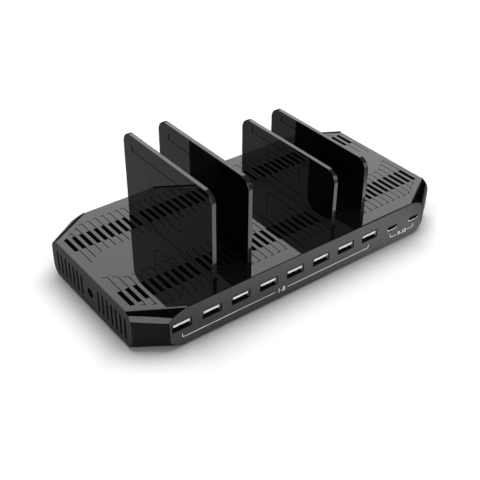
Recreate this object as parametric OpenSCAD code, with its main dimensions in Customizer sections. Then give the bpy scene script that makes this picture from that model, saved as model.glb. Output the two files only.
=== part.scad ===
// Charging station organizer: a low slotted charging base with ten sockets and four lift-out dividers.
// X runs along the front from left to right, Y runs to the back and Z is up.
// The origin is under the middle of the base, on the surface that its feet stand on.

/* [Body] */
// Length of the base along its front
body_l = 241; // [238:1:270]
// Depth of the base from front to back
body_w = 120; // [118:1:140]
// Height of the housing without its feet
body_h = 26; // [25:0.5:34]
// Corner cut of the top plate, measured along the front
cut_x = 30; // [26:0.5:33]
// Corner cut of the top plate, measured along the end
cut_y = 17.8; // [15:0.1:20]
// How far a rounded corner swells past the top plate, measured along the front
swell_x = 13.2; // [8:0.1:14]
// How far a rounded corner swells past the top plate, measured along the end
swell_y = 5.5; // [3:0.1:7]
// Height of the upper rounding of a corner
crown_h = 7.4; // [7:0.1:11]
// Slope at which that rounding leaves the top plate, in degrees below level
crown_angle = 30; // [20:1:40]
// Height of the lower rounding of a corner
heel_h = 7; // [4:0.1:9]
// Share of the swell that the lower rounding takes back
heel_share = 0.8; // [0.4:0.05:0.9]
// Slope at which the lower rounding meets the underside, in degrees
heel_angle = 15; // [5:1:30]

/* [Walls] */
// Thickness of the tray floor
floor_t = 2.2; // [1.8:0.1:3]
// Thickness of the tray's corner walls
wall_t = 2.4; // [1.8:0.1:2.5]
// Thickness of the front, rear and end panels
panel_t = 2.2; // [1.6:0.1:3]
// Bright rim of corner wall left round the end of a panel
rim_t = 0.5; // [0.3:0.1:0.6]
// Thickness of the top plate
deck_t = 2.5; // [2:0.1:4]
// Thickness of the top plate's lip over the panels
lip_t = 0.5; // [0.4:0.1:1]
// Height of the two ribs under the top plate
rib_h = 2; // [1:0.1:2.2]
// Thickness of those ribs
rib_t = 1.6; // [1:0.1:2.4]
// Gap between parts that fit into each other
fit_gap = 0.1; // [0.05:0.05:0.2]

/* [Divider slots] */
// Distance from one slot to the next
slot_pitch = 5.2; // [5:0.1:6]
// Width of a slot
slot_w = 2.9; // [2.2:0.1:3]
// Length of a slot
slot_l = 15; // [12:0.5:17]
// Distance of each slot row from the middle of the top plate
slot_row_y = 32.3; // [30:0.1:34]
// Least distance from the outermost slot to the end of the base
slot_margin = 4; // [4:0.1:10]
// How far the slot pattern sits right of the middle
slot_shift = 0.2; // [0:0.1:1]

/* [Dividers] */
// Thickness of a divider
divider_t = 3; // [2.4:0.1:4]
// Length of a divider from front to back
divider_l = 95; // [90:0.5:100]
// Height of the two tall dividers above the top plate
tall_h = 58; // [40:0.5:90]
// Height of the two short dividers above the top plate
short_h = 38.5; // [25:0.5:60]
// Radius of a divider's upper corners
divider_r = 8; // [3:0.5:15]
// Depth to which a divider's feet reach below the top plate's face
foot_depth = 6.5; // [5:0.1:7.5]
// Clearance round a divider's foot in its slot
slot_gap = 0.3; // [0.2:0.05:0.5]
// Lead-in chamfer at the bottom of a divider's foot
foot_chamfer = 1.5; // [0.5:0.1:3]
// Slot of the first divider, counted from the middle slot
divider_a = -12; // [-16:1:-10]
// Slot of the second divider, counted from the middle slot
divider_b = -7; // [-8:1:-4]
// Slot of the third divider, counted from the middle slot
divider_c = 6; // [3:1:8]
// Slot of the fourth divider, counted from the middle slot
divider_d = 11; // [10:1:16]

/* [Sockets] */
// Distance from either end of the front panel to the middle of the nearest socket
port_edge = 9.3; // [8.2:0.1:9.6]
// Distance from one wide socket to the next
port_pitch = 21.1; // [20:0.1:21.2]
// Distance from the last wide socket to the first narrow one
narrow_step = 21.1; // [18:0.1:24]
// Width of a wide socket's metal shell
usb_a_w = 13.2; // [13:0.1:13.6]
// Height of a wide socket's metal shell
usb_a_h = 5.8; // [5.7:0.1:6.4]
// Depth of a wide socket's metal shell
usb_a_l = 14; // [12:0.5:14]
// Thickness of a socket's metal shell
shell_t = 0.4; // [0.3:0.05:0.5]
// Width of a wide socket's tongue
tongue_w = 11.1; // [10.8:0.1:11.4]
// Thickness of a wide socket's tongue
tongue_t = 1.84; // [1.7:0.02:2]
// Gap between the tongue and the roof of its shell
tongue_gap = 0.9; // [0.8:0.05:1.1]
// How far a tongue stays behind the face of the front panel
tongue_back = 1.5; // [1:0.1:2.5]
// Distance between the two narrow sockets
narrow_pitch = 20; // [17:0.1:20.2]
// Width of a narrow socket's metal shell
usb_c_w = 8.94; // [8.9:0.02:9.2]
// Height of a narrow socket's metal shell
usb_c_h = 3.16; // [3.1:0.02:3.4]
// Depth of a narrow socket's metal shell
usb_c_l = 9; // [7:0.5:10]
// Height of a narrow socket's middle above the top of the board
usb_c_rise = 0.7; // [0.6:0.1:1.2]
// Thickness of a narrow socket's tongue
slim_tongue_t = 0.7; // [0.6:0.02:0.8]
// Gap round a socket in the front panel
port_gap = 0.2; // [0.1:0.05:0.3]
// How far a socket's mouth stays behind the panel face
port_recess = 0.2; // [0.1:0.1:0.5]

/* [Ends and power inlet] */
// Number of vents in each group
vent_count = 7; // [5:1:7]
// Distance from one vent to the next
vent_pitch = 5.06; // [4.5:0.02:5.1]
// Width of a vent
vent_w = 1.7; // [1:0.1:2.2]
// Length of a vent
vent_l = 15; // [8:0.5:16]
// Distance from the middle of the end to the nearest vent
vent_start = 10.2; // [9:0.1:11]
// Bore of the power inlet
inlet_d = 6.2; // [6:0.1:6.6]
// Depth of the power inlet's bore
inlet_depth = 9.5; // [8:0.1:10]
// Diameter of the pin in the power inlet
inlet_pin_d = 2; // [1.6:0.1:2.6]
// Width of the inlet's body
inlet_w = 9; // [8.6:0.1:11]
// Height of the inlet's body
inlet_h = 11; // [9:0.1:12]
// Length of the inlet's body
inlet_l = 13.5; // [12:0.1:14]

/* [Board] */
// Height of the board's upper face above the table
board_top = 13.2; // [12.6:0.1:13.6]
// Thickness of the circuit board
board_t = 1.6; // [1:0.1:2]
// Distance from the end of the base to the end of the circuit board
board_inset = 20; // [19:0.5:22]
// Depth of the circuit board
board_w = 75; // [74:0.5:85]
// Clear space between the rows of parts on the board
row_gap = 2.5; // [1:0.1:3]
// Distance from the end of the board to the first part in a row
channel_inset = 24; // [20:0.5:30]
// Distance of the outer standoffs from the ends of the board
standoff_inset = 25; // [20:0.5:30]
// Distance of the rear standoffs from the back edge of the board
standoff_back = 5; // [4:0.5:7.5]
// Diameter of a standoff
standoff_d = 5.2; // [4.6:0.1:6]
// Diameter of a board screw's shank
board_screw_d = 2.2; // [1.8:0.1:2.5]
// Diameter of a smoothing capacitor
capacitor_d = 8; // [6:0.5:10]
// Height of a smoothing capacitor
capacitor_h = 9; // [6:0.5:10]
// Side of a power coil
coil_a = 10; // [6:0.5:11]
// Height of a power coil
coil_h = 4.5; // [3:0.1:5]
// Length of the heat sink
sink_l = 60; // [40:1:70]
// Depth of the heat sink
sink_w = 14; // [10:0.5:15]
// Height of the heat sink
sink_h = 8; // [5:0.5:9]

/* [Screws and feet] */
// Diameter of the screw posts
post_d = 6.4; // [6:0.1:7]
// Height at which the tray posts and the top plate posts meet
post_joint = 16; // [15:0.5:18]
// Distance of the screw posts from the front and the back of the base
post_inset = 10; // [8:0.5:12]
// Diameter of a case screw's shank
case_screw_d = 2.8; // [2.4:0.1:3]
// Diameter of a case screw's head
case_head_d = 5; // [4.4:0.1:5.4]
// Height of a case screw's head
case_head_h = 1.6; // [1.2:0.1:2]
// How far a screw head lies inside the underside
head_sink = 0.8; // [0.4:0.1:1.2]
// Diameter of a rubber foot
pad_d = 12; // [8:0.5:14]
// How far a foot stands out of the underside
pad_out = 1.2; // [0.8:0.1:2]
// Depth of the recess that holds a foot
pad_sink = 0.8; // [0.5:0.1:1]
// Distance of the feet from the ends of the base
pad_inset_x = 28; // [24:0.5:40]
// Distance of the feet from the front and the back of the base
pad_inset_y = 24; // [22:0.5:35]

/* [Hidden] */
$fn = 48;

// Small overshoot that keeps a cut clear of the face it goes through
eps = 0.01;
half_l = body_l / 2;
half_w = body_w / 2;
base_z = pad_out;
floor_z = base_z + floor_t;
deck_z = base_z + body_h;
lip_z = deck_z - lip_t;
deck_under = deck_z - deck_t;

// Rounded corners: steps in the upper and the lower rounding, and the slope at the lip
crown_steps = 12;
heel_steps = 8;
lip_angle = acos(cos(crown_angle) * (1 - lip_t / crown_h));

// A level is a height and the share of the swell that the corners have there
function crown_level(a) = [deck_z - crown_h * (1 - cos(a) / cos(crown_angle)),
    (sin(a) - sin(crown_angle)) / (1 - sin(crown_angle))];
function heel_level(a) = [base_z + heel_h * (1 - cos(a) / cos(heel_angle)),
    1 - heel_share * (1 - sin(a)) / (1 - sin(heel_angle))];
heel_levels = [for (i = [0:heel_steps]) heel_level(heel_angle + (90 - heel_angle) * i / heel_steps)];
crown_levels = [for (i = [0:crown_steps]) crown_level(90 - (90 - lip_angle) * i / crown_steps)];
wall_levels = concat(heel_levels, crown_levels);
lip_share = crown_level(lip_angle)[1];
// Share of the swell at the height of the tray floor
floor_share = let (n = len([for (l = wall_levels) if (l[0] <= floor_z + eps) l]) - 1,
    low = wall_levels[n], high = wall_levels[n + 1])
    low[1] + (high[1] - low[1]) * (floor_z - low[0]) / (high[0] - low[0]);

// Corner cuts at a level, with the slanted wall moved inwards by a distance
function corner(share, inset) = let (cx = cut_x - swell_x * share, cy = cut_y - swell_y * share)
    [cx, cy] * (1 + inset * norm([1 / cx, 1 / cy]));

// Eight-sided outline of the body at a height
function outline(z, share, inset, grow_x, grow_y) = let (c = corner(share, inset), a = half_l + grow_x,
    b = half_w + grow_y, px = half_l - c[0] - grow_y * c[0] / c[1], py = half_w - c[1] - grow_x * c[1] / c[0])
    [[-px, -b, z], [px, -b, z], [a, -py, z], [a, py, z], [px, b, z], [-px, b, z], [-a, py, z], [-a, -py, z]];

// Slots, dividers and sockets
slot_count = floor((body_l - 2 * slot_margin - slot_w) / slot_pitch) + 1;
middle_slot = floor((slot_count - 1) / 2);
function slot_x(i) = (i - (slot_count - 1) / 2) * slot_pitch + slot_shift;
function divider_x(offset) = slot_x(middle_slot + offset);
foot_t = slot_w - 2 * slot_gap;
foot_l = slot_l - 2 * slot_gap;
usb_a_count = 8;
usb_c_count = 2;
panel_end = half_l - cut_x + swell_x;
// Length that the row of sockets has to spare on the panel, for each gap that holds no screw post
port_spare = (2 * (panel_end - port_edge) - (usb_a_count - 1) * port_pitch - narrow_step
    - (usb_c_count - 1) * narrow_pitch) / (usb_a_count - 1);
function usb_a_x(i) = port_edge - panel_end + i * port_pitch + max(0, i - 1) * port_spare;
function usb_c_x(i) = panel_end - port_edge + (i - usb_c_count + 1) * narrow_pitch;
usb_a_z = board_top + usb_a_h / 2;
usb_c_z = board_top + usb_c_rise;
mouth_y = port_recess - half_w;
shell_r = 0.8;
insulator_l = 3;
slim_tongue_w = 6.7;
slim_tongue_back = 0.9;

// Ends
end_z = base_z + body_h / 2 - 1;
inlet_x = panel_t + fit_gap - half_l;
inlet_back = inlet_x + inlet_l;
pin_l = inlet_depth - 0.5;
lead_d = 1.2;
lead_gap = 4;
lead_reach = 4;
lead_z = max(end_z + 1.5, board_top + lead_d);

// Board and what it carries
board_l = body_l - 2 * board_inset;
board_left = -board_l / 2;
board_under = board_top - board_t;
board_front = panel_t + fit_gap + 0.4 - half_w;
standoff_x = board_l / 2 - standoff_inset;
standoff_rear = board_front + board_w - standoff_back;
standoff_front = mouth_y + usb_a_l + 3.8;
standoff_points = [for (x = [-standoff_x, 0, standoff_x]) for (y = [standoff_front, standoff_rear]) [x, y]];
board_hole_d = board_screw_d + 0.4;
board_head_d = 4.2;
board_head_h = 1.4;
board_screw_l = 8;
controller_a = 5;
controller_h = 1.1;
controller_y = standoff_front + board_head_d / 2 + row_gap + controller_a / 2;
coil_y = controller_y + controller_a / 2 + row_gap + coil_a / 2;
capacitor_y = coil_y + coil_a / 2 + row_gap + capacitor_d / 2;
sink_y = capacitor_y + capacitor_d / 2 + row_gap + sink_w / 2;
fin_count = 12;
fin_t = 1.2;
sink_base_t = 2;
channel_count = 5;
channel_pitch = (board_l - 2 * channel_inset) / (channel_count - 1);
function channel_x(i) = (i - (channel_count - 1) / 2) * channel_pitch;

// Screws and feet
head_floor = base_z + head_sink + case_head_h;
pilot_d = case_screw_d + 0.2;
case_screw_top = deck_under - 2.5;
corner_signs = [[-1, -1], [1, -1], [-1, 1], [1, 1]];
// The posts stand between the two sockets next to each end
post_left = (usb_a_x(0) + usb_a_x(1)) / 2;
post_right = (usb_c_x(0) + usb_c_x(1)) / 2;
pad_x = half_l - pad_inset_x;
pad_y = half_w - pad_inset_y;

// A solid through a list of eight-sided outlines, lowest first
module stack(rings) {
    last = len(rings) - 1;
    points = [for (r = rings) for (p = r) p];
    flats = [for (k = [0:last - 1]) for (i = [0:2:6])
        [8 * k + i, 8 * k + 8 + i, 8 * k + 9 + i, 8 * k + 1 + i]];
    slants = [for (k = [0:last - 1]) for (i = [1:2:7]) let (j = (i + 1) % 8)
        [8 * k + i, 8 * k + 8 + i, 8 * k + 8 + j]];
    slants_low = [for (k = [0:last - 1]) for (i = [1:2:7]) let (j = (i + 1) % 8)
        [8 * k + i, 8 * k + 8 + j, 8 * k + j]];
    bottom = [[for (i = [0:7]) i]];
    top = [[for (i = [7:-1:0]) 8 * last + i]];
    polyhedron(points, concat(flats, slants, slants_low, bottom, top), convexity = 6);
}

// Outline of a panel in its own plane: wide is the half length, side picks the corner cut that it meets
module panel_outline(wide, side, inset, top) {
    right = [for (l = wall_levels) [wide - corner(l[1], inset)[side], min(l[0], top)]];
    left = [for (i = [len(right) - 1:-1:0]) [-right[i][0], right[i][1]]];
    polygon(concat(right, left));
}

// A front or rear panel, as a slab at the front
module long_panel(inset, thick, top) {
    translate([0, thick - half_w, 0])
        rotate([90, 0, 0])
            linear_extrude(thick) panel_outline(half_l, 0, inset, top);
}

// An end panel, as a slab at the left end
module end_panel(inset, thick, top) {
    translate([-half_l, 0, 0])
        rotate([90, 0, 90])
            linear_extrude(thick) panel_outline(half_w, 1, inset, top);
}

// A rectangle with round corners, drawn round the origin
module round_rect(w, h, r) {
    square([w - 2 * r, h], center = true);
    square([w, h - 2 * r], center = true);
    for (x = [-1, 1])
        for (y = [-1, 1])
            translate([x * (w / 2 - r), y * (h / 2 - r)]) circle(r, $fn = 24);
}

// A round-cornered bar that runs back from the front face
module port_bar(x, z, w, h, r, front, back) {
    translate([x, back, z])
        rotate([90, 0, 0])
            linear_extrude(back - front) round_rect(w, h, r);
}

// Both ends of a body part, from the one at the left
module both_ends() {
    children();
    mirror([1, 0, 0]) children();
}

// Both long sides of a body part, from the one at the front
module both_sides() {
    children();
    mirror([0, 1, 0]) children();
}

// Places of the four case screws
module at_posts() {
    for (x = [post_left, post_right])
        for (side = [-1, 1])
            translate([x, side * (half_w - post_inset), 0]) children();
}

// Tray with its floor, four rounded corner walls, screw posts and board standoffs
module base_tray() {
    pocket = panel_t + fit_gap;
    color([0.05, 0.05, 0.055])
        difference() {
            union() {
                difference() {
                    stack([for (l = wall_levels) outline(l[0], l[1], 0, 0, 0)]);
                    // The space inside the corner walls runs out through all four sides
                    stack(concat([outline(floor_z, floor_share, wall_t, 1, 1)],
                        [for (l = wall_levels) if (l[0] > floor_z + eps) outline(l[0], l[1], wall_t, 1, 1)],
                        [outline(lip_z + 1, lip_share, wall_t, 1, 1)]));
                    both_sides()
                        translate([0, -eps, 0]) long_panel(rim_t - fit_gap, pocket + eps, lip_z + 1);
                    both_ends()
                        translate([-eps, 0, 0]) end_panel(rim_t - fit_gap, pocket + eps, lip_z + 1);
                }
                at_posts()
                    translate([0, 0, floor_z - eps]) cylinder(d = post_d, h = post_joint - floor_z + eps);
                for (p = standoff_points)
                    translate([p[0], p[1], floor_z - eps])
                        cylinder(d = standoff_d, h = board_under - floor_z + eps);
                inlet_cradle();
            }
            at_posts() {
                translate([0, 0, base_z - 1]) cylinder(d = pilot_d + 0.4, h = post_joint);
                translate([0, 0, base_z - 1]) cylinder(d = case_head_d + 0.4, h = head_floor - base_z + 1);
            }
            for (p = standoff_points)
                translate([p[0], p[1], board_top - board_screw_l - 0.5])
                    cylinder(d = board_screw_d + 0.2, h = board_screw_l);
            for (s = corner_signs)
                translate([s[0] * pad_x, s[1] * pad_y, base_z - 1])
                    cylinder(d = pad_d + 0.2, h = pad_sink + 1);
        }
}

// Block of the tray that the power inlet rests on, with a cheek on each side
module inlet_cradle() {
    cheek_t = 1.6;
    cheek_h = 4;
    seat_h = end_z - inlet_h / 2 - floor_z;
    translate([inlet_x + 1, -inlet_w / 2 - fit_gap - cheek_t, floor_z - eps])
        difference() {
            cube([inlet_l - 2, inlet_w + 2 * fit_gap + 2 * cheek_t, seat_h + cheek_h]);
            translate([-1, cheek_t, seat_h + eps]) cube([inlet_l, inlet_w + 2 * fit_gap, inlet_h]);
        }
}

// Slotted top plate, with a thin lip that covers the panels and a post over each case screw
module top_plate() {
    inner = -(panel_t + 2 * fit_gap);
    plug = outline(0, lip_share, wall_t + fit_gap, inner, inner);
    color([0.08, 0.08, 0.085])
        difference() {
            union() {
                stack([outline(lip_z, lip_share, 0, 0, 0), outline(deck_z, 0, 0, 0, 0)]);
                translate([0, 0, deck_under])
                    linear_extrude(deck_t - lip_t + eps)
                        polygon([for (p = plug) [p[0], p[1]]]);
                at_posts()
                    translate([0, 0, post_joint]) cylinder(d = post_d, h = deck_under - post_joint + eps);
                both_sides()
                    translate([slot_x(0), slot_row_y - slot_l / 2 - 2 - rib_t, deck_under - rib_h])
                        cube([slot_x(slot_count - 1) - slot_x(0), rib_t, rib_h + eps]);
            }
            slot_rows();
            at_posts()
                translate([0, 0, post_joint - 1])
                    cylinder(d = pilot_d, h = case_screw_top - post_joint + 1.5);
        }
}

// The two rows of slots
module slot_rows() {
    for (side = [-1, 1])
        for (i = [0:slot_count - 1])
            translate([slot_x(i) - slot_w / 2, side * slot_row_y - slot_l / 2, deck_under - 1])
                cube([slot_w, slot_l, deck_t + 2]);
}

// Front panel with a hole for every socket
module front_panel() {
    color([0.16, 0.16, 0.165])
        difference() {
            long_panel(rim_t, panel_t, lip_z - fit_gap);
            for (i = [0:usb_a_count - 1])
                port_bar(usb_a_x(i), usb_a_z, usb_a_w + 2 * port_gap, usb_a_h + 2 * port_gap,
                    shell_r, -half_w - 1, panel_t + 1 - half_w);
            for (i = [0:usb_c_count - 1])
                port_bar(usb_c_x(i), usb_c_z, usb_c_w + 2 * port_gap, usb_c_h + 2 * port_gap,
                    usb_c_h / 2, -half_w - 1, panel_t + 1 - half_w);
        }
}

// Plain rear panel
module rear_panel() {
    color([0.16, 0.16, 0.165])
        mirror([0, 1, 0]) long_panel(rim_t, panel_t, lip_z - fit_gap);
}

// Vents of an end panel, in two groups
module vents() {
    for (side = [-1, 1])
        for (i = [0:vent_count - 1])
            translate([-half_l - 1, side * (vent_start + i * vent_pitch), end_z])
                rotate([90, 0, 90])
                    linear_extrude(panel_t + 2) round_rect(vent_w, vent_l, vent_w / 2 - 0.05);
}

// Left end panel with vents and the hole of the power inlet
module left_panel() {
    color([0.15, 0.15, 0.155])
        difference() {
            end_panel(rim_t, panel_t, lip_z - fit_gap);
            vents();
            translate([-half_l - 1, 0, end_z]) rotate([0, 90, 0]) cylinder(d = inlet_d, h = panel_t + 2);
        }
}

// Right end panel with the same vents
module right_panel() {
    color([0.15, 0.15, 0.155])
        mirror([1, 0, 0])
            difference() {
                end_panel(rim_t, panel_t, lip_z - fit_gap);
                vents();
            }
}

// Side view of a divider above the top plate, standing on the line y = 0
module divider_plate(h) {
    translate([-divider_l / 2, 0]) square([divider_l, h - divider_r]);
    translate([divider_r - divider_l / 2, 0]) square([divider_l - 2 * divider_r, h]);
    for (s = [-1, 1])
        translate([s * (divider_l / 2 - divider_r), h - divider_r]) circle(divider_r, $fn = 64);
}

// Side view of a divider's foot, pointing down from the line y = 0
module divider_foot() {
    b = foot_l / 2;
    polygon([[-b, 0.5], [b, 0.5], [b, foot_chamfer - foot_depth], [b - foot_chamfer, -foot_depth],
        [foot_chamfer - b, -foot_depth], [-b, foot_chamfer - foot_depth]]);
}

// A divider of a given height in a given slot, with a foot in each slot row
module divider(offset, h) {
    color([0.02, 0.02, 0.022])
        translate([divider_x(offset), 0, deck_z])
            rotate([90, 0, 90]) {
                translate([0, 0, -divider_t / 2]) linear_extrude(divider_t) divider_plate(h);
                for (side = [-1, 1])
                    translate([side * slot_row_y, 0, -foot_t / 2]) linear_extrude(foot_t) divider_foot();
            }
}

// Metal shell of a wide socket, closed at the back
module usb_a_shell(i) {
    color([0.6, 0.6, 0.62])
        difference() {
            port_bar(usb_a_x(i), usb_a_z, usb_a_w, usb_a_h, shell_r, mouth_y, mouth_y + usb_a_l);
            port_bar(usb_a_x(i), usb_a_z, usb_a_w - 2 * shell_t, usb_a_h - 2 * shell_t,
                shell_r - shell_t, mouth_y - 1, mouth_y + usb_a_l - shell_t);
        }
}

// Plastic tongue of a wide socket, with the insulator block that fills the back of the shell
module usb_a_tongue(i) {
    inside_w = usb_a_w - 2 * shell_t - 2 * fit_gap;
    inside_h = usb_a_h - 2 * shell_t - 2 * fit_gap;
    back = mouth_y + usb_a_l - shell_t - fit_gap;
    front = tongue_back - half_w;
    top = usb_a_z + usb_a_h / 2 - shell_t - tongue_gap;
    color([0.9, 0.9, 0.88]) {
        port_bar(usb_a_x(i), usb_a_z, inside_w, inside_h, shell_r - shell_t, back - insulator_l, back);
        translate([usb_a_x(i) - tongue_w / 2, 0, 0])
            rotate([90, 0, 90])
                linear_extrude(tongue_w)
                    polygon([[back - insulator_l + 0.5, top], [front + 0.4, top], [front, top - 0.4],
                        [front, top - tongue_t + 0.4], [front + 0.4, top - tongue_t],
                        [back - insulator_l + 0.5, top - tongue_t]]);
    }
}

// Metal shell of a narrow socket, closed at the back
module usb_c_shell(i) {
    color([0.6, 0.6, 0.62])
        difference() {
            port_bar(usb_c_x(i), usb_c_z, usb_c_w, usb_c_h, usb_c_h / 2 - 0.02, mouth_y, mouth_y + usb_c_l);
            port_bar(usb_c_x(i), usb_c_z, usb_c_w - 2 * shell_t, usb_c_h - 2 * shell_t,
                usb_c_h / 2 - shell_t - 0.02, mouth_y - 1, mouth_y + usb_c_l - shell_t);
        }
}

// Plastic tongue of a narrow socket, with its insulator block
module usb_c_tongue(i) {
    inside_w = usb_c_w - 2 * shell_t - 2 * fit_gap;
    inside_h = usb_c_h - 2 * shell_t - 2 * fit_gap;
    back = mouth_y + usb_c_l - shell_t - fit_gap;
    block = insulator_l / 2;
    color([0.08, 0.08, 0.08]) {
        port_bar(usb_c_x(i), usb_c_z, inside_w, inside_h, inside_h / 2 - 0.02, back - block, back);
        port_bar(usb_c_x(i), usb_c_z, slim_tongue_w, slim_tongue_t, slim_tongue_t / 2 - 0.02,
            mouth_y + slim_tongue_back, back - block + 0.3);
    }
}

// Body of the power inlet, with its bore
module power_inlet() {
    color([0.07, 0.07, 0.07])
        difference() {
            translate([inlet_x, -inlet_w / 2, end_z - inlet_h / 2]) cube([inlet_l, inlet_w, inlet_h]);
            translate([inlet_x - 1, 0, end_z]) rotate([0, 90, 0]) cylinder(d = inlet_d, h = inlet_depth + 1);
            for (s = [-1, 1])
                translate([inlet_back - 2, s * lead_gap / 2, lead_z])
                    rotate([0, 90, 0]) cylinder(d = lead_d + 0.1, h = 3, $fn = 24);
        }
}

// Centre pin of the power inlet, standing on the floor of the bore
module inlet_pin() {
    color([0.75, 0.75, 0.76])
        translate([inlet_x + inlet_depth - pin_l, 0, end_z])
            rotate([0, 90, 0]) {
                translate([0, 0, 0.5]) cylinder(d = inlet_pin_d, h = pin_l - 0.5);
                cylinder(d1 = inlet_pin_d - 0.6, d2 = inlet_pin_d, h = 0.5);
            }
}

// Two stiff leads from the inlet to the board, bent down at their ends
module inlet_leads() {
    run = board_left + lead_reach - inlet_back + 1.9;
    color([0.72, 0.45, 0.25])
        for (s = [-1, 1])
            translate([inlet_back - 1.9, s * lead_gap / 2, lead_z]) {
                rotate([0, 90, 0]) cylinder(d = lead_d, h = run, $fn = 24);
                translate([run, 0, 0]) sphere(d = lead_d, $fn = 24);
                translate([run, 0, board_top - lead_z])
                    cylinder(d = lead_d, h = lead_z - board_top, $fn = 24);
            }
}

// Circuit board, cut out for the narrow sockets and drilled for posts and screws
module circuit_board() {
    color([0.04, 0.045, 0.045])
        difference() {
            translate([board_left, board_front, board_under]) cube([board_l, board_w, board_t]);
            at_posts()
                translate([0, 0, board_under - 1]) cylinder(d = post_d + 1, h = board_t + 2);
            for (p = standoff_points)
                translate([p[0], p[1], board_under - 1]) cylinder(d = board_hole_d, h = board_t + 2);
            for (i = [0:usb_c_count - 1])
                translate([usb_c_x(i) - usb_c_w / 2 - fit_gap, board_front - 1, board_under - 1])
                    cube([usb_c_w + 2 * fit_gap, mouth_y + usb_c_l + fit_gap - board_front + 1, board_t + 2]);
        }
}

// One charging controller chip for each power channel
module port_controllers() {
    color([0.06, 0.06, 0.06])
        for (i = [0:channel_count - 1])
            translate([channel_x(i) - controller_a / 2, controller_y - controller_a / 2, board_top])
                cube([controller_a, controller_a, controller_h]);
}

// One shielded coil for each power channel
module power_coils() {
    color([0.2, 0.2, 0.2])
        for (i = [0:channel_count - 1])
            translate([channel_x(i), coil_y, board_top]) {
                linear_extrude(coil_h - 0.8) round_rect(coil_a, coil_a, 1.5);
                translate([0, 0, coil_h - 0.8 - eps]) cylinder(d = coil_a - 2, h = 0.8 + eps);
            }
}

// One smoothing capacitor for each power channel
module capacitors() {
    r = capacitor_d / 2;
    color([0.7, 0.7, 0.72])
        for (i = [0:channel_count - 1])
            translate([channel_x(i), capacitor_y, board_top])
                rotate_extrude()
                    polygon([[0, 0], [r, 0], [r, 1.2], [r - 0.4, 1.6], [r, 2], [r, capacitor_h - 0.4],
                        [r - 0.4, capacitor_h], [0, capacitor_h]]);
}

// Finned heat sink at the back of the board
module heat_sink() {
    step = (sink_l - fin_t) / (fin_count - 1);
    color([0.65, 0.66, 0.68])
        translate([-sink_l / 2, sink_y - sink_w / 2, board_top]) {
            cube([sink_l, sink_w, sink_base_t]);
            for (i = [0:fin_count - 1])
                translate([i * step, 0, 0]) cube([fin_t, sink_w, sink_h]);
        }
}

// A screw that points down, with its head standing on the origin
module pan_screw(head_d, head_h, shank_d, shank_l) {
    shank_r = shank_d / 2;
    head_r = head_d / 2;
    difference() {
        rotate_extrude()
            polygon([[0, -shank_l], [shank_r - 0.3, -shank_l], [shank_r, 0.3 - shank_l], [shank_r, 0],
                [head_r, 0], [head_r, head_h * 0.6], [head_r - head_h * 0.3, head_h], [0, head_h]]);
        for (a = [0, 90])
            rotate([0, 0, a])
                translate([-head_d * 0.28, -0.3, head_h * 0.4]) cube([head_d * 0.56, 0.6, head_h]);
    }
}

// Screws that hold the board on its standoffs
module board_screws() {
    color([0.7, 0.7, 0.7])
        for (p = standoff_points)
            translate([p[0], p[1], board_top])
                pan_screw(board_head_d, board_head_h, board_screw_d, board_screw_l - 0.5);
}

// Screws that come up through the tray into the top plate's posts
module case_screws() {
    color([0.25, 0.25, 0.25])
        at_posts()
            translate([0, 0, head_floor])
                rotate([180, 0, 0])
                    pan_screw(case_head_d, case_head_h, case_screw_d, case_screw_top - head_floor);
}

// A rubber foot in its recess
module rubber_foot(s) {
    color([0.1, 0.1, 0.1])
        translate([s[0] * pad_x, s[1] * pad_y, 0])
            rotate_extrude()
                polygon([[0, 0], [pad_d / 2 - 0.6, 0], [pad_d / 2, 0.6], [pad_d / 2, pad_out + pad_sink],
                    [0, pad_out + pad_sink]]);
}

base_tray();
top_plate();
front_panel();
rear_panel();
left_panel();
right_panel();
divider(divider_a, tall_h);  // divider_1
divider(divider_b, tall_h);  // divider_2
divider(divider_c, short_h);  // divider_3
divider(divider_d, short_h);  // divider_4
usb_a_shell(0);  // usb_a_shell_1
usb_a_shell(1);  // usb_a_shell_2
usb_a_shell(2);  // usb_a_shell_3
usb_a_shell(3);  // usb_a_shell_4
usb_a_shell(4);  // usb_a_shell_5
usb_a_shell(5);  // usb_a_shell_6
usb_a_shell(6);  // usb_a_shell_7
usb_a_shell(7);  // usb_a_shell_8
usb_a_tongue(0);  // usb_a_tongue_1
usb_a_tongue(1);  // usb_a_tongue_2
usb_a_tongue(2);  // usb_a_tongue_3
usb_a_tongue(3);  // usb_a_tongue_4
usb_a_tongue(4);  // usb_a_tongue_5
usb_a_tongue(5);  // usb_a_tongue_6
usb_a_tongue(6);  // usb_a_tongue_7
usb_a_tongue(7);  // usb_a_tongue_8
usb_c_shell(0);  // usb_c_shell_1
usb_c_shell(1);  // usb_c_shell_2
usb_c_tongue(0);  // usb_c_tongue_1
usb_c_tongue(1);  // usb_c_tongue_2
power_inlet();
inlet_pin();
inlet_leads();
circuit_board();
port_controllers();
power_coils();
capacitors();
heat_sink();
board_screws();
case_screws();
rubber_foot(corner_signs[0]);  // rubber_foot_1
rubber_foot(corner_signs[1]);  // rubber_foot_2
rubber_foot(corner_signs[2]);  // rubber_foot_3
rubber_foot(corner_signs[3]);  // rubber_foot_4
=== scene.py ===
# %% [markdown]
# # A charging station organizer
# The real object is a low black base with a polished, slotted top plate, a matte front with ten
# sockets, and four polished dividers that lift out of the slots. This lesson dresses a finished
# engineering model of it: shapes that are already right keep their mesh, and the looks, the fine
# engraving and the print are added. Everything is in metres, X runs along the front, Y to the back
# and Z up.

# %% Tools and the engineering model
import math

import bmesh
import bpy
from mathutils import Matrix, Vector


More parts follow.
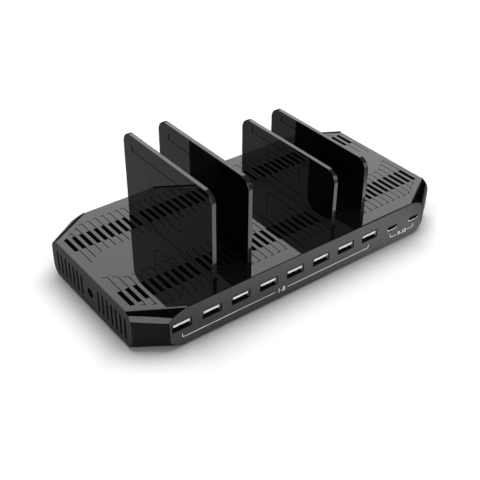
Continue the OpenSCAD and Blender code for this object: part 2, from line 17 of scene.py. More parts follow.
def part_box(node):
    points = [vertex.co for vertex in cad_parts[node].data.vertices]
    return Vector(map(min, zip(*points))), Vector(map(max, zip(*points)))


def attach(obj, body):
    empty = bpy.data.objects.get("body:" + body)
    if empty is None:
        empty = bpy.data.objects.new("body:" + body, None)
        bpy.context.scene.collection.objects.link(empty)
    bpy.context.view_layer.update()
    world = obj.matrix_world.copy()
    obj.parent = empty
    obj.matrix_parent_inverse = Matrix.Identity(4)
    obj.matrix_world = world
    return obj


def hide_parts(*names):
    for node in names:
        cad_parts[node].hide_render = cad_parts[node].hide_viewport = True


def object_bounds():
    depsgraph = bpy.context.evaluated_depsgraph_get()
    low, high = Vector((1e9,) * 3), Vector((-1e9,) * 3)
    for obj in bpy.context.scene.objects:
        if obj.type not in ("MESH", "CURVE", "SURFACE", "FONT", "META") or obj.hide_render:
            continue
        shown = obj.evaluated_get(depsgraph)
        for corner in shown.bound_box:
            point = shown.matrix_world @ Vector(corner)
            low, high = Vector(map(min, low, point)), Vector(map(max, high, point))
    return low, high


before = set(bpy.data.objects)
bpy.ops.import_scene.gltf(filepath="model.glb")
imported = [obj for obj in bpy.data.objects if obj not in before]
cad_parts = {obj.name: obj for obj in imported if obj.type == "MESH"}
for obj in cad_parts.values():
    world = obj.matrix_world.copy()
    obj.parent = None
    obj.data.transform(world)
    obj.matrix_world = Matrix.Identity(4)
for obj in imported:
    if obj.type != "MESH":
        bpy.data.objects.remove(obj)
cad_box = [list(corner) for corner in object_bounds()]
MM = 0.001
print("nodes loaded:", len(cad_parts), "box:", cad_box)

# %% [markdown]
# ## The camera
# The photograph was taken with a fairly long lens, from the left of the front and well above the
# table. A camera can be aimed with a constraint, but fixed angles are simpler to read and stay put
# when the scene is seen from other sides, so the fitted place and angles are written down as they
# are.

# %% Camera
camera_data = bpy.data.cameras.new("photo_camera")
camera_data.sensor_width = 36
camera_data.lens = 65.6
camera_data.clip_start = 0.01
camera_data.clip_end = 50
camera = bpy.data.objects.new("photo_camera", camera_data)
camera.location = (-0.2986, -0.3805, 0.3436)
camera.rotation_euler = [math.radians(angle) for angle in (54.715, -0.369, -37.161)]
bpy.context.scene.collection.objects.link(camera)
bpy.context.scene.camera = camera
print("camera at", tuple(round(v, 3) for v in camera.location))

# %% [markdown]
# ## Helpers for meshes
# An engineering mesh arrives as loose triangles. It stays as it is, and a copy of it is welded and
# its flat triangles are joined, because bevels and cuts need clean faces.

# %% Making and copying a mesh
WELD_WITHIN = 1e-6
FLAT_WITHIN = 0.05


def new_piece(name, bm, *finishes):
    mesh = bpy.data.meshes.new(name)
    bm.to_mesh(mesh)
    bm.free()
    for finish in finishes:
        mesh.materials.append(finish)
    piece = bpy.data.objects.new(name, mesh)
    bpy.context.scene.collection.objects.link(piece)
    return piece


def welded_copy(node):
    bm = bmesh.new()
    bm.from_mesh(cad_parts[node].data)
    bmesh.ops.remove_doubles(bm, verts=bm.verts, dist=WELD_WITHIN)
    bmesh.ops.dissolve_limit(bm, angle_limit=math.radians(FLAT_WITHIN), verts=bm.verts,
                             edges=bm.edges)
    return bm


print("loose triangles of the top plate:", len(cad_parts["top_plate"].data.polygons))

# %% [markdown]
# Edges between faces that meet at more than 12 degrees stay sharp, and the rest are shaded round.
# The limit is low on purpose: a wide flat face that is shaded together with the bevel beside it
# gets bent normals, and on polished plastic that bends the mirror.

# %% Shading a mesh round
SHARP_ABOVE = 12


def shade_round(piece, sharp_above=SHARP_ABOVE):
    stale = piece.data.attributes.get("custom_normal")
    if stale:
        piece.data.attributes.remove(stale)
    piece.data.shade_smooth()
    piece.data.set_sharp_from_angle(angle=math.radians(sharp_above))


print("edges stay sharp above", SHARP_ABOVE, "degrees")

# %% [markdown]
# No moulded or polished edge is knife sharp. The edges of a corner are found by the angle between
# their two faces, each piece then keeps those that belong to its rim, and a bevel rounds them.

# %% Finding and rounding corner edges
CORNER_ANGLE = 60
SQUARE_ON = 0.95


def corner_edges(bm):
    limit = math.radians(CORNER_ANGLE)
    return [e for e in bm.edges if e.is_manifold and e.calc_face_angle(0) > limit]


def round_off(bm, edges, radius, steps):
    bmesh.ops.bevel(bm, geom=edges, offset=radius * MM, offset_type="OFFSET", affect="EDGES",
                    segments=steps, profile=0.5, material=-1)


def looks_along(face, axis):
    return abs(face.normal[axis]) > SQUARE_ON


print("an edge of a corner turns by more than", CORNER_ANGLE, "degrees")

# %% [markdown]
# A thin line, engraved or printed, is a narrow wall that follows a path. The path's edges are
# pulled out into a ribbon, and the ribbon is given its width, so corners come out mitred by
# themselves.

# %% Pieces made of narrow walls
def wall_along(bm, points, pull, width):
    corners = [bm.verts.new(Vector(p) * MM) for p in points]
    path = [bm.edges.new(pair) for pair in zip(corners, corners[1:])]
    pulled = bmesh.ops.extrude_edge_only(bm, edges=path)["geom"]
    moved = [g for g in pulled if isinstance(g, bmesh.types.BMVert)]
    faces = [g for g in pulled if isinstance(g, bmesh.types.BMFace)]
    bmesh.ops.translate(bm, verts=moved, vec=Vector(pull) * MM)
    bmesh.ops.recalc_face_normals(bm, faces=faces)
    bmesh.ops.solidify(bm, geom=faces, thickness=width * MM)


def piece_of_walls(name, walls, finish):
    bm = bmesh.new()
    for points, pull, width in walls:
        wall_along(bm, points, pull, width)
    bmesh.ops.recalc_face_normals(bm, faces=bm.faces)
    return new_piece(name, bm, finish)


print("one millimetre is", MM, "m in this scene")

# %% [markdown]
# Walls also engrave: a Boolean takes them away from a piece. Such a wall starts a little outside
# the surface, so that no face of it lies in the surface. The cutter is removed when the cut is
# done.

# %% Engraving a piece
CUT_START = 0.3


def engrave(piece, cutter):
    cut = piece.modifiers.new("engrave", "BOOLEAN")
    cut.operation = "DIFFERENCE"
    cut.solver = "EXACT"
    cut.material_mode = "TRANSFER"
    cut.object = cutter
    shown = piece.evaluated_get(bpy.context.evaluated_depsgraph_get())
    plain = piece.data
    piece.data = bpy.data.meshes.new_from_object(shown)
    piece.modifiers.clear()
    bpy.data.objects.remove(cutter)
    bpy.data.meshes.remove(plain)
    if not piece.data.polygons:
        raise RuntimeError(f"{piece.name} was lost in a cut")


print("a cutting wall starts", CUT_START, "mm outside the surface")

# %% [markdown]
# ## Finishes
# Each finish is a node material, so it has detail at every zoom. A soft noise varies its colour
# and its roughness together, as wear and handling do. Polished plastic has almost no colour of its
# own: it is dark, with a faint ripple and a little haze that comes and goes, and it shows what it
# mirrors. Matte plastic is lighter and gets the fine grain of its mould. The sunk traces are matte
# and nearly black, so they stay dark wherever the polished faces beside them shine. The same
# nearly black finish is painted shade on the walls of openings and in the depths of the sockets.

# %% What all finishes share
def start_finish(name):
    finish = bpy.data.materials.new(name)
    finish.use_nodes = True
    return finish, finish.node_tree.nodes, finish.node_tree.links


def add_noise(nodes, links, vector, scale, detail):
    noise = nodes.new("ShaderNodeTexNoise")
    noise.inputs["Scale"].default_value = scale
    noise.inputs["Detail"].default_value = detail
    links.new(vector, noise.inputs["Vector"])
    return noise.outputs["Fac"]


def vary_surface(nodes, links, pattern, dark, light, rough):
    shader = nodes["Principled BSDF"]
    tint = nodes.new("ShaderNodeValToRGB")
    tint.color_ramp.elements[0].color = dark + [1]
    tint.color_ramp.elements[1].color = light + [1]
    links.new(pattern, tint.inputs["Fac"])
    links.new(tint.outputs["Color"], shader.inputs["Base Color"])
    wear = nodes.new("ShaderNodeMapRange")
    wear.inputs["To Min"].default_value = rough[0]
    wear.inputs["To Max"].default_value = rough[1]
    links.new(pattern, wear.inputs["Value"])
    links.new(wear.outputs["Result"], shader.inputs["Roughness"])


print("materials before the first finish:", len(bpy.data.materials))

# %% A plastic finish
PLASTIC_IOR = 1.5
HAZE_SCALE, HAZE_DETAIL, GRAIN_DETAIL = 22, 4, 3


def plastic(name, colour, rough, grain, depth, patch=0.15):
    finish, nodes, links = start_finish(name)
    shader = nodes["Principled BSDF"]
    shader.inputs["IOR"].default_value = PLASTIC_IOR
    where = nodes.new("ShaderNodeTexCoord").outputs["Object"]
    haze = add_noise(nodes, links, where, HAZE_SCALE, HAZE_DETAIL)
    dark = [c * (1 - patch) for c in colour]
    light = [c * (1 + patch) for c in colour]
    vary_surface(nodes, links, haze, dark, light, rough)
    bump = nodes.new("ShaderNodeBump")
    bump.inputs["Strength"].default_value = 1
    bump.inputs["Distance"].default_value = depth * MM
    links.new(add_noise(nodes, links, where, grain, GRAIN_DETAIL), bump.inputs["Height"])
    links.new(bump.outputs["Normal"], shader.inputs["Normal"])
    return finish


def dull(finish, level):
    finish.node_tree.nodes["Principled BSDF"].inputs["Specular IOR Level"].default_value = level


print("the haze of a plastic has a noise of scale", HAZE_SCALE)

# %% The plastics of this object
body_gloss = plastic("body_gloss", (0.002, 0.002, 0.0021), (0.02, 0.04), 300, 0.0005)
deck_gloss = plastic("deck_gloss", (0.003, 0.003, 0.0031), (0.015, 0.03), 300, 0.0005)
divider_gloss = plastic("divider_gloss", (0.002, 0.002, 0.0021), (0.01, 0.025), 200, 0.0005)
divider_edge = plastic("divider_edge", (0.02, 0.02, 0.0205), (0.06, 0.12), 900, 0.003)
# Nearly black matte: the own colour of grooves and traces, and painted shade on the walls of
# openings and in the depths of sockets.
matte_black_and_painted_shade = plastic("matte_black_and_painted_shade", (0.002, 0.002, 0.002), (0.6, 0.8), 2000, 0.004)
trace_matte = plastic("trace_matte", (0.004, 0.004, 0.004), (0.6, 0.8), 2000, 0.004)
panel_matte = plastic("panel_matte", (0.045, 0.045, 0.0465), (0.42, 0.5), 2600, 0.012)
tongue_white = plastic("tongue_white", (0.85, 0.85, 0.84), (0.35, 0.45), 1500, 0.004, 0.02)
plain_black = plastic("plain_black", (0.02, 0.02, 0.02), (0.35, 0.5), 1500, 0.006)
foot_rubber = plastic("foot_rubber", (0.03, 0.03, 0.03), (0.75, 0.9), 1800, 0.03)
board_black = plastic("board_black", (0.02, 0.022, 0.022), (0.3, 0.4), 700, 0.01, 0.3)
print_white = plastic("print_white", (0.8, 0.8, 0.8), (0.5, 0.6), 3000, 0.004, 0.03)
dull(matte_black_and_painted_shade, 0.1)
dull(trace_matte, 0.1)
dull(panel_matte, 0.3)
print("plastics:", [finish.name for finish in bpy.data.materials])

# %% [markdown]
# Metal parts are pressed or drawn, which leaves fine streaks along one direction. A noise that is
# stretched by a Mapping node makes those streaks in the colour and in the roughness.

# %% A drawn metal finish
STREAK_SCALE, STREAK_DETAIL = 400, 5
STREAK_DARK, STREAK_LIGHT = 0.85, 1.12


def metal(name, colour, rough, streak):
    finish, nodes, links = start_finish(name)
    nodes["Principled BSDF"].inputs["Metallic"].default_value = 1
    stretch = nodes.new("ShaderNodeMapping")
    stretch.inputs["Scale"].default_value = streak
    links.new(nodes.new("ShaderNodeTexCoord").outputs["Object"], stretch.inputs["Vector"])
    lines = add_noise(nodes, links, stretch.outputs["Vector"], STREAK_SCALE, STREAK_DETAIL)
    dark = [c * STREAK_DARK for c in colour]
    light = [min(1, c * STREAK_LIGHT) for c in colour]
    vary_surface(nodes, links, lines, dark, light, rough)
    return finish


socket_steel = metal("socket_steel", (0.72, 0.72, 0.73), (0.42, 0.55), (8, 1, 8))
# A very dark steel. On the springs it is painted shade, as they lie deep in the sockets; the
# inlet's pin gets it too.
dark_steel_and_painted_shade = metal("dark_steel_and_painted_shade", (0.06, 0.06, 0.062), (0.35, 0.5), (8, 1, 8))
plated = metal("plated", (0.72, 0.72, 0.73), (0.15, 0.3), (1, 6, 6))
copper = metal("copper", (0.65, 0.38, 0.2), (0.25, 0.4), (1, 8, 8))
aluminium = metal("aluminium", (0.6, 0.61, 0.63), (0.3, 0.45), (8, 1, 1))
black_steel = metal("black_steel", (0.3, 0.3, 0.31), (0.35, 0.5), (4, 4, 1))
contact_gold = metal("contact_gold", (0.8, 0.6, 0.25), (0.2, 0.3), (8, 1, 1))
print("finishes in all:", len(bpy.data.materials))

# %% [markdown]
# Every node of the engineering model gets its finish by assigning to its material slots, found by
# how the node's name starts. Those that are dressed further below are finished here too, so
# nothing is left grey if a step is skipped.

# %% Finishes of the engineering nodes
FINISH_OF = {
    "top_plate": deck_gloss, "base_tray": body_gloss, "divider": divider_gloss,
    "front_panel": panel_matte, "rear_panel": panel_matte,
    "left_panel": panel_matte, "right_panel": panel_matte,
    "usb_a_shell": socket_steel, "usb_a_tongue": tongue_white,
    "usb_c_shell": socket_steel, "usb_c_tongue": matte_black_and_painted_shade,
    "power_inlet": matte_black_and_painted_shade, "inlet_pin": dark_steel_and_painted_shade, "inlet_leads": copper,
    "circuit_board": board_black, "port_controllers": plain_black, "power_coils": plain_black,
    "capacitors": aluminium, "heat_sink": aluminium,
    "board_screws": plated, "case_screws": black_steel, "rubber_foot": foot_rubber,
}
for name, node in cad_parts.items():
    start = next(start for start in FINISH_OF if name.startswith(start))
    node.data.materials.clear()
    node.data.materials.append(FINISH_OF[start])
print("finished nodes:", len(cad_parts))

# %% [markdown]
# ## The top plate
# Fine lines run from both ends of every slot, like traces on a circuit board. Most end in a short
# foot. A bump texture could draw them, but at this size real grooves stay crisp from near and far,
# so thin walls are made along the traces and cut out of a copy of the plate. The traces end on a
# straight line that bends near the ends of the plate, to follow its slanted corners.

# %% Where the traces end
SLOT_STEP, SLOT_SHIFT, SLOT_COUNT = 5.2, 0.2, 45
SLOT_MIDDLE, SLOT_HALF, SLOT_EDGE = 32.3, 7.5, 1.25
HALF_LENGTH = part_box("top_plate")[1].x / MM
DECK_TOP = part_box("top_plate")[1].z / MM
OUTER_LINE = {"y": 50.2, "slope": 0.63, "bends_at": 22}
INNER_LINE = {"y": 16, "slope": 0.62, "bends_at": 18.4}


def trace_end(x, line):
    from_the_end = HALF_LENGTH - abs(x)
    return line["y"] - line["slope"] * max(0, line["bends_at"] - from_the_end)


print("traces end at y", trace_end(0, OUTER_LINE), "mm, near an end",
      round(trace_end(HALF_LENGTH - 4, OUTER_LINE), 1))

# %% Paths of the traces
TRACE_FOOT, TRACE_OVERLAP, SHORTEST_TRACE = 2.7, 0.2, 0.5


def slot_traces(x, side):
    slot_outer, slot_inner = SLOT_MIDDLE + SLOT_HALF, SLOT_MIDDLE - SLOT_HALF
    foot_x = x - TRACE_FOOT
    traces = []
    if trace_end(x, OUTER_LINE) > slot_outer + SHORTEST_TRACE:
        traces.append([(x, side * (slot_outer - TRACE_OVERLAP)),
                       (x, side * trace_end(x, OUTER_LINE)),
                       (foot_x, side * trace_end(foot_x, OUTER_LINE))])
    inner = [(x, side * (slot_inner + TRACE_OVERLAP)), (x, side * trace_end(x, INNER_LINE))]
    if side < 0:
        inner.append((foot_x, side * trace_end(foot_x, INNER_LINE)))
    return traces + [inner]


middle_slot = (SLOT_COUNT - 1) / 2
slot_edges = [(i - middle_slot) * SLOT_STEP + SLOT_SHIFT + SLOT_EDGE for i in range(SLOT_COUNT)]
trace_paths = [path for x in slot_edges for side in (-1, 1) for path in slot_traces(x, side)]
print("traces:", len(trace_paths))

# %% Walls that cut the traces
TRACE_WIDTH, TRACE_DEPTH = 0.58, 0.4
downward = (0, 0, -CUT_START - TRACE_DEPTH)
trace_walls = [([(x, y, DECK_TOP + CUT_START) for x, y in path], downward, TRACE_WIDTH)
               for path in trace_paths]
trace_cutter = piece_of_walls("trace_cutter", trace_walls, trace_matte)
print("walls to cut:", len(trace_cutter.data.polygons), "faces")

# %% [markdown]
# The straight edges of the plate are rounded by half a millimetre, which draws the fine dark line
# between the plate and the panels. The walls of the slots are found by their place and direction,
# and they get the matte finish. The cut gives the traces the material of the walls that made them.

# %% The dressed top plate
DECK_RIM, DECK_RIM_STEPS = 0.5, 3
SLOT_FIELD = (HALF_LENGTH - 3, 50)
UPRIGHT = 0.1
LEVEL_WITHIN = 0.01


def on_top(point):
    return point.z / MM > DECK_TOP - LEVEL_WITHIN


def in_slot_field(point):
    return abs(point.x) / MM < SLOT_FIELD[0] and abs(point.y) / MM < SLOT_FIELD[1]


bm = welded_copy("top_plate")
deck_rim = [e for e in corner_edges(bm)
            if all(on_top(v.co) and not in_slot_field(v.co) for v in e.verts)]
round_off(bm, deck_rim, DECK_RIM, DECK_RIM_STEPS)
for face in bm.faces:
    slot_wall = abs(face.normal.z) < UPRIGHT and in_slot_field(face.calc_center_median())
    face.material_index = 1 if slot_wall else 0
deck = new_piece("slotted_deck", bm, deck_gloss, matte_black_and_painted_shade)
engrave(deck, trace_cutter)
shade_round(deck)
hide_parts("top_plate")
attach(deck, "base")
print("top plate:", len(deck_rim), "rim edges rounded,", len(deck.data.polygons), "faces")

# %% [markdown]
# Along each cut corner the plate ends in a fine raised lip that leans inwards. It is too fine for
# the engineering model, but its outer side mirrors the card at the front left, and so it draws a
# light line between the plate and the corner shell. The ends of the cuts are read from the plate's
# own top corners.

# %% Where the corners are cut
ON_THE_EDGE = 0.05
plate = welded_copy("top_plate")
top_corners = [v.co / MM for v in plate.verts if on_top(v.co)]
plate.free()
half_width = max(abs(p.y) for p in top_corners)
cut_x = max(abs(p.x) for p in top_corners if abs(p.y) > half_width - ON_THE_EDGE)
cut_y = max(abs(p.y) for p in top_corners if abs(p.x) > HALF_LENGTH - ON_THE_EDGE)
along_cut = Vector((HALF_LENGTH - cut_x, cut_y - half_width)).normalized()
print("cuts run from", (round(HALF_LENGTH, 1), round(cut_y, 1)),
      "to", (round(cut_x, 1), round(half_width, 1)))

# %% Lips along the cut corners
LIP_LEAN, LIP_HEIGHT, LIP_SINK, LIP_THICK = 0.42, 0.6, 0.1, 0.35
LIP_INSET, LIP_SHORTENED = 0.2, 0.02
lip_walls = []
for x_side in (-1, 1):
    for y_side in (-1, 1):
        inward = Vector((along_cut.y * x_side, -along_cut.x * y_side)) * LIP_LEAN
        ends = [(x_side * (HALF_LENGTH - LIP_INSET), y_side * (cut_y - LIP_SHORTENED)),
                (x_side * (cut_x + LIP_SHORTENED), y_side * (half_width - LIP_INSET))]
        points = [(x, y, DECK_TOP - LIP_SINK) for x, y in ends]
        lip_walls.append((points, (inward.x, inward.y, LIP_HEIGHT), LIP_THICK))
lips = piece_of_walls("plate_lips", lip_walls, deck_gloss)
shade_round(lips)
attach(lips, "base")
print("lips:", len(lip_walls), "walls,", len(lips.data.polygons), "faces")

# %% [markdown]
# ## The dividers
# Each divider is a polished plate with a few engraved lines on its left face. Its edges were cut
# and polished again, so they are a little hazier than the faces. A bevel of 0.3 mm rounds the rim,
# and the narrow faces round the rim get the edge finish. The lines could be cut all at once, but
# two cutters that meet in one Boolean can leave an empty mesh, so they are cut one at a time.

# %% Engraved lines of the tall and the short dividers
WIDE_LINE, FINE_LINE = 1.2, 0.6
TALL_LINES = [
    ([(36.5, 51.5), (36.5, 47.5)], WIDE_LINE),
    ([(36.5, 47.6), (-36.8, 47.6)], FINE_LINE),
    ([(18.4, 35), (18.4, 19.2), (15.2, 14.6), (-13.8, 14.6), (-15.6, 16.4)], FINE_LINE),
    ([(-14.4, 34.6), (-14.4, 20.3), (-13, 19)], FINE_LINE),
]
SHORT_LINES = [
    ([(36.5, 35.7), (36.5, 31.8)], WIDE_LINE),
    ([(36.5, 31.9), (-36.8, 31.9)], FINE_LINE),
    ([(18.4, 26.7), (18.4, 9.2), (16, 7.2), (-14.4, 7.2), (-16.2, 8.8)], FINE_LINE),
    ([(-14.6, 27.2), (-14.6, 13), (-13.3, 11.5)], FINE_LINE),
]
print("lines on a tall divider:", len(TALL_LINES), "on a short one:", len(SHORT_LINES))

# %% A divider with rounded edges
DIVIDER_RIM, DIVIDER_RIM_STEPS = 0.3, 2
BELOW_DECK = 0.1
X_AXIS, Y_AXIS = 0, 1


def rounded_divider(node, name):
    bm = welded_copy(node)
    rim = [e for e in corner_edges(bm)
           if min(v.co.z for v in e.verts) > (DECK_TOP - BELOW_DECK) * MM
           and any(looks_along(f, X_AXIS) for f in e.link_faces)]
    round_off(bm, rim, DIVIDER_RIM, DIVIDER_RIM_STEPS)
    for face in bm.faces:
        face.material_index = 0 if looks_along(face, X_AXIS) else 1
    return new_piece(name, bm, divider_gloss, divider_edge, matte_black_and_painted_shade)


divider_low, divider_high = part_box("divider_1")
print("divider thickness in mm:", round((divider_high.x - divider_low.x) / MM, 2))

# %% Engraving and placing the four dividers
LINE_DEPTH = 0.35


def make_divider(number, lines):
    node = f"divider_{number}"
    piece = rounded_divider(node, f"polished_divider_{number}")
    left_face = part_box(node)[0].x / MM
    for path, width in lines:
        points = [(left_face - CUT_START, y, DECK_TOP + z) for y, z in path]
        wall = (points, (CUT_START + LINE_DEPTH, 0, 0), width)
        engrave(piece, piece_of_walls("line_cutter", [wall], matte_black_and_painted_shade))
    shade_round(piece)
    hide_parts(node)
    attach(piece, node)
    print(piece.name, "has", len(piece.data.polygons), "faces")


for number, lines in enumerate((TALL_LINES, TALL_LINES, SHORT_LINES, SHORT_LINES), start=1):
    make_divider(number, lines)

# %% [markdown]
# ## The housing
# The rounded corner shells are polished, so their shading has to be smooth from step to step. A
# welded copy of the tray can be shaded round, which loose triangles can't. Its curves are coarser
# than a bevel, so it gets a higher limit for sharp edges.

# %% Corner shells
SHELL_SHARP_ABOVE = 25
tray = new_piece("polished_tray", welded_copy("base_tray"), body_gloss)
shade_round(tray, SHELL_SHARP_ABOVE)
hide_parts("base_tray")
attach(tray, "base")
print("tray with corner shells:", len(tray.data.polygons), "faces")

# %% [markdown]
# The front, rear and end panels get a fine bevel round their faces and openings. Inside the field
# of the vents or sockets, whatever does not lie in the face of the panel is the wall of an
# opening, and it gets the nearly black finish as painted shade.

# %% Panels
PANEL_RIM, PANEL_RIM_STEPS = 0.18, 2
LOW_SIDE, HIGH_SIDE = 0, 1
SOCKET_FIELD = (104, 6)
VENT_FIELD = (42.8, 9)


def soften_panel(node, name, axis, side, field):
    low, high = [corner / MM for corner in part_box(node)]
    outside = (low, high)[side][axis]
    bm = welded_copy(node)
    rim = [e for e in corner_edges(bm)
           if all(abs(v.co[axis] / MM - outside) < LEVEL_WITHIN for v in e.verts)]
    round_off(bm, rim, PANEL_RIM, PANEL_RIM_STEPS)
    for face in bm.faces:
        off = face.calc_center_median() / MM - (low + high) / 2
        in_field = abs(off[1 - axis]) < field[0] and abs(off.z) < field[1]
        # the walls of openings get the nearly black finish as painted shade
        face.material_index = 1 if in_field and not looks_along(face, axis) else 0
    piece = new_piece(name, bm, panel_matte, matte_black_and_painted_shade)
    shade_round(piece)
    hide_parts(node)
    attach(piece, "base")
    print(name, "edges softened:", len(rim))


soften_panel("front_panel", "matte_front", Y_AXIS, LOW_SIDE, SOCKET_FIELD)
soften_panel("rear_panel", "matte_rear", Y_AXIS, HIGH_SIDE, SOCKET_FIELD)
soften_panel("left_panel", "matte_left_end", X_AXIS, LOW_SIDE, VENT_FIELD)
soften_panel("right_panel", "matte_right_end", X_AXIS, HIGH_SIDE, VENT_FIELD)

# %% [markdown]
# ## The sockets
# A socket is a pressed metal shell round a plastic tongue. Seen from the front, only the upright
# walls of a wide shell catch light, and its depth lies in shade. So each shell and each tongue is
# copied, and each of its faces keeps its own finish or gets the nearly black one as painted shade,
# by where it lies and which way it points: all of a wide shell but its upright side walls, and the
# root of each white tongue, are painted shade. The tongue's tip is brought forward, near the
# mouth, where a real one can be seen and lit. A narrow shell is first halved by a level plane, so
# that only the lower half of its rim keeps the steel and the rest of it is painted shade.

# %% A copy with its own finish and painted shade
SOCKET_SHARP_ABOVE = 40


def copy_with_painted_shade(node, name, finish, keeps_own_finish, halved=False):
    bm = welded_copy(node)
    if halved:
        low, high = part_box(node)
        bmesh.ops.bisect_plane(bm, geom=bm.verts[:] + bm.edges[:] + bm.faces[:],
                               plane_co=(low + high) / 2, plane_no=(0, 0, 1))
    for face in bm.faces:
        # faces that don't keep their finish get the nearly black one as painted shade
        face.material_index = 0 if keeps_own_finish(face) else 1
    piece = new_piece(name, bm, finish, matte_black_and_painted_shade)
    shade_round(piece, SOCKET_SHARP_ABOVE)
    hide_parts(node)
    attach(piece, "base")
    return piece


print("edges of sockets stay sharp above", SOCKET_SHARP_ABOVE, "degrees")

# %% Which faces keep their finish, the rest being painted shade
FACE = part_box("front_panel")[0].y / MM
TIP_ENDS, NARROW_RIM_ENDS = 6, 1
SIDEWAYS, FORWARD = 0.5, 0.9
narrow_low, narrow_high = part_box("usb_c_shell_1")
NARROW_MIDDLE = (narrow_low.z + narrow_high.z) / 2


def behind_face(point):
    return point.y / MM - FACE


def side_wall(face):
    return abs(face.normal.x) > SIDEWAYS


def tongue_tip(face):
    return behind_face(face.calc_center_median()) <= TIP_ENDS


def lower_rim(face):
    middle = face.calc_center_median()
    at_rim = face.normal.y < -FORWARD and behind_face(middle) < NARROW_RIM_ENDS
    return at_rim and middle.z < NARROW_MIDDLE


print("the front panel's face is at y", round(FACE, 2), "mm")

# %% The ten sockets
TONGUE_FORWARD, TONGUE_FRONT = 1, 2.2
for n in range(1, 9):
    copy_with_painted_shade(f"usb_a_shell_{n}", f"wide_shell_{n}", socket_steel, side_wall)
    tongue = copy_with_painted_shade(f"usb_a_tongue_{n}", f"wide_tongue_{n}", tongue_white, tongue_tip)
    for corner in tongue.data.vertices:
        if behind_face(corner.co) < TONGUE_FRONT:
            corner.co.y -= TONGUE_FORWARD * MM
for n in (1, 2):
    copy_with_painted_shade(f"usb_c_shell_{n}", f"narrow_shell_{n}", socket_steel, lower_rim,
                 halved=True)
print("sockets dressed: 10, tongues", TONGUE_FORWARD, "mm forward")

# %% [markdown]
# Inside each wide socket two bowed springs on the floor of the shell grip the plug, and four thin
# contacts lie under the tongue. Each is a bent strip of metal, so its side view is pulled out to
# its width, with the same walls that draw the traces.

# %% Where the wide sockets are
def middle_of(node):
    low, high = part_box(node)
    return (low.x + high.x) / 2 / MM


SHELL_WALL = 0.4
WIDE_SOCKETS = [middle_of(f"usb_a_shell_{n}") for n in range(1, 9)]
SHELL_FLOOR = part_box("usb_a_shell_1")[0].z / MM + SHELL_WALL
print("floor of a shell at z", round(SHELL_FLOOR, 2), "mm")

# %% Springs and contacts
SPRING_STARTS, SPRING_WIDTH, SPRING_THICK = (-3.6, 1.4), 2.2, 0.2
SPRING_BOW = [(-51.5, 0.12), (-54.5, 0.45), (-56.6, 0.85), (-57.6, 0.75), (-58.6, 0.35)]
CONTACT_STARTS, CONTACT_WIDTH, CONTACT_THICK = (-4, -1.5, 0.5, 3), 1, 0.12
CONTACT_SIDE = [(-50, 15.8), (-56.8, 15.8), (-57.6, 15.86)]


def socket_strips(name, starts, side_view, width, thick, finish):
    walls = [([(x + start, y, z) for y, z in side_view], (width, 0, 0), thick)
             for x in WIDE_SOCKETS for start in starts]
    return piece_of_walls(name, walls, finish)


spring_side = [(y, SHELL_FLOOR + height) for y, height in SPRING_BOW]
# The springs get the very dark steel as painted shade, since they lie deep in the socket.
springs = socket_strips("socket_springs", SPRING_STARTS, spring_side,
                        SPRING_WIDTH, SPRING_THICK, dark_steel_and_painted_shade)
shade_round(springs)
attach(springs, "base")
contacts = socket_strips("socket_contacts", CONTACT_STARTS, CONTACT_SIDE,
                         CONTACT_WIDTH, CONTACT_THICK, contact_gold)
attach(contacts, "base")
print("springs:", len(springs.data.polygons), "contact faces:", len(contacts.data.polygons))

# %% [markdown]
# ## Print on the front
# A thin bracket under the sockets groups them, with plain numbers in its gap: one to eight under
# the wide sockets, and nine and ten under the narrow ones. Ink has a little body, so it stands
# 0.02 mm proud.

# %% Brackets
PRINT_Z, TICK_TOP = 6.7, 9.5
PRINT_PROUD, BRACKET_SUNK, BRACKET_LINE = 0.02, 0.05, 0.45
BEND, BEND_MIDDLE = 1.1, (0.35, 0.4)
BRACKETS = [(-94.6, -25.6), (53.3, -16), (73.4, 79.2), (95.1, 89.6)]


def bracket_path(end, gap):
    turn = 1 if gap > end else -1
    path = [(end, TICK_TOP), (end, PRINT_Z + BEND),
            (end + turn * BEND_MIDDLE[0], PRINT_Z + BEND_MIDDLE[1]),
            (end + turn * BEND, PRINT_Z), (gap, PRINT_Z)]
    return [(x, FACE + BRACKET_SUNK, z) for x, z in path]


outward = (0, -BRACKET_SUNK - PRINT_PROUD, 0)
bracket_walls = [(bracket_path(end, gap), outward, BRACKET_LINE) for end, gap in BRACKETS]
brackets = piece_of_walls("printed_brackets", bracket_walls, print_white)
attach(brackets, "base")
print("brackets:", len(brackets.data.polygons), "faces")

# %% [markdown]
# The numbers start as text, because a font's curves are clean at any size. The text is made a mesh
# first and only then turned and moved, so that the finished piece sits at the origin like every
# other piece.

# %% Numbers
TEXT_SIZE, TEXT_SWELL, TEXT_HALF_DEPTH = 4.6, 0.07, 0.03


def printed_number(text, x, name):
    writing = bpy.data.curves.new(name, "FONT")
    writing.body = text
    writing.size = TEXT_SIZE * MM
    writing.offset = TEXT_SWELL * MM
    writing.align_x = "CENTER"
    writing.align_y = "CENTER"
    writing.extrude = TEXT_HALF_DEPTH * MM
    words = bpy.data.objects.new(name + "_text", writing)
    bpy.context.scene.collection.objects.link(words)
    bpy.context.view_layer.update()
    shown = words.evaluated_get(bpy.context.evaluated_depsgraph_get())
    mesh = bpy.data.meshes.new_from_object(shown)
    shift = Matrix.Translation(Vector((x, FACE + TEXT_HALF_DEPTH - PRINT_PROUD, PRINT_Z)) * MM)
    mesh.transform(shift @ Matrix.Rotation(math.pi / 2, 4, "X"))
    mesh.materials.append(print_white)
    bpy.data.objects.remove(words)
    piece = bpy.data.objects.new(name, mesh)
    bpy.context.scene.collection.objects.link(piece)
    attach(piece, "base")
    print(name, "is", round(piece.dimensions.x / MM, 1), "mm wide")


printed_number("1-8", -20.8, "wide_socket_numbers")
printed_number("9-10", 84.4, "narrow_socket_numbers")

